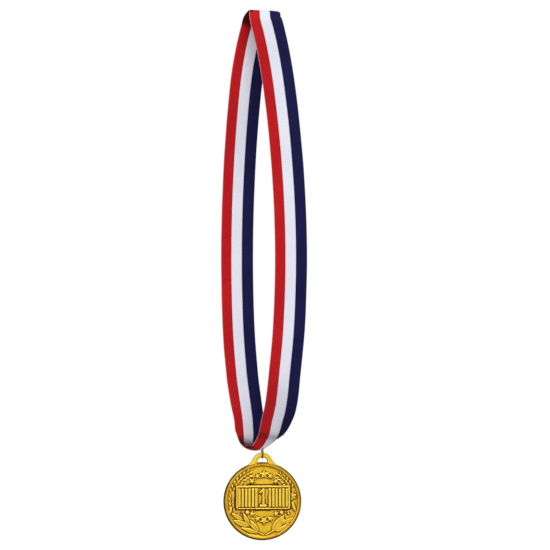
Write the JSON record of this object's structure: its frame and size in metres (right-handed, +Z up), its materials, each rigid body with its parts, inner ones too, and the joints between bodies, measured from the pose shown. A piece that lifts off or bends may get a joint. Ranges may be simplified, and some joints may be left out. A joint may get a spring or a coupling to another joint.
{
  "type": "award medal on neck ribbon",
  "caption": "Round cast medal with a relief front, hung by a wire jump ring from a striped woven neck ribbon sewn into a loop.",
  "frame": {"origin": "the inside of the ribbon's top fold, where it rests on a peg or hook, straight above the medal's centre", "axes": "+Z up, along the hanging direction; the medal's relief face looks along -Y; +X to the viewer's right"},
  "size_m": [0.0549, 0.0217, 0.3445],
  "materials": {
    "medal_metal": "gold plated casting, dark wash in the recesses, polished high points",
    "ring_wire": "dull brass-plated wire",
    "ribbon_red": "fine ribbed polyester weave, slight sheen",
    "ribbon_white": "fine ribbed polyester weave, slight sheen",
    "ribbon_navy": "fine ribbed polyester weave, slight sheen",
    "thread": "clear nylon sewing thread"
  },
  "bodies": {
    "ribbon": {"ribbon_red_band": "ribbon_red", "ribbon_white_band": "ribbon_white", "ribbon_navy_band": "ribbon_navy", "lap_stitches_front": "thread", "lap_stitches_back": "thread"},
    "ring": {"jump_ring": "ring_wire"},
    "medal": {"medal_body": "medal_metal"}
  },
  "joints": [
    {"name": "ring_turn", "type": "hinge", "parent": "ribbon", "child": "ring", "pos_m": [0, 0, -0.28607], "axis": [1, 0, 0], "range_deg": [-35, 35]},
    {"name": "medal_swing", "type": "hinge", "parent": "ring", "child": "medal", "pos_m": [0, 0, -0.29062], "axis": [0, 1, 0], "range_deg": [-30, 30]}
  ]
}
